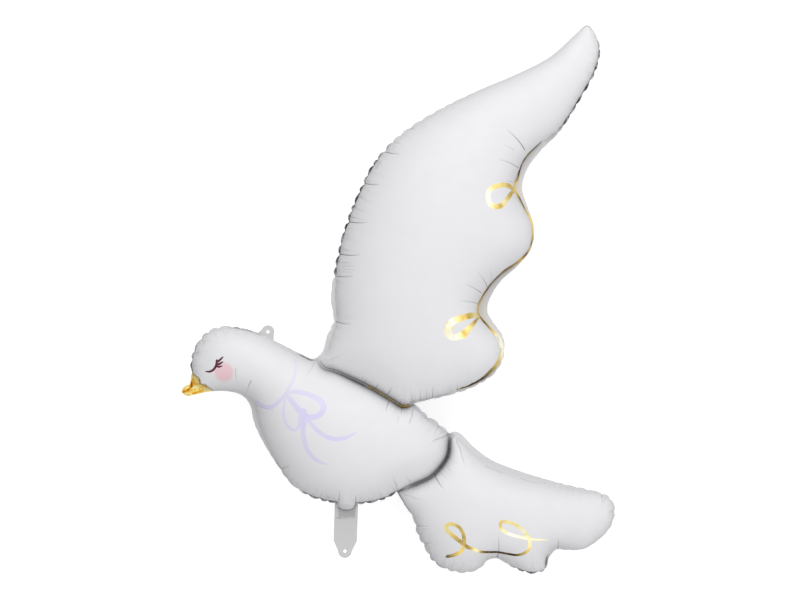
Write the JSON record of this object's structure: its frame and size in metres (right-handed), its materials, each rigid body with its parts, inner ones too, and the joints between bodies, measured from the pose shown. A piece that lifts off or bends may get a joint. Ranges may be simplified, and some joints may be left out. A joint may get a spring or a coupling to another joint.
{
  "type": "dove foil balloon",
  "caption": "Flying dove foil balloon lying face up, with a raised wing, a fanned tail, a gold beak, a welded border, a ribbon tab and a filling tab.",
  "frame": {"origin": "centre of the outline's box, at the surface the balloon lies on", "axes": "+Y towards the raised wing's tip, the longest way; +X from the beak to the tail; +Z out of the printed face, the shortest way"},
  "size_m": [0.6704, 0.848, 0.146],
  "materials": {
    "film": "satin pearl-white metallised film with gold, lavender and pink print"
  },
  "bodies": {
    "root": {"foil_envelope": "film"}
  },
  "joints": []
}
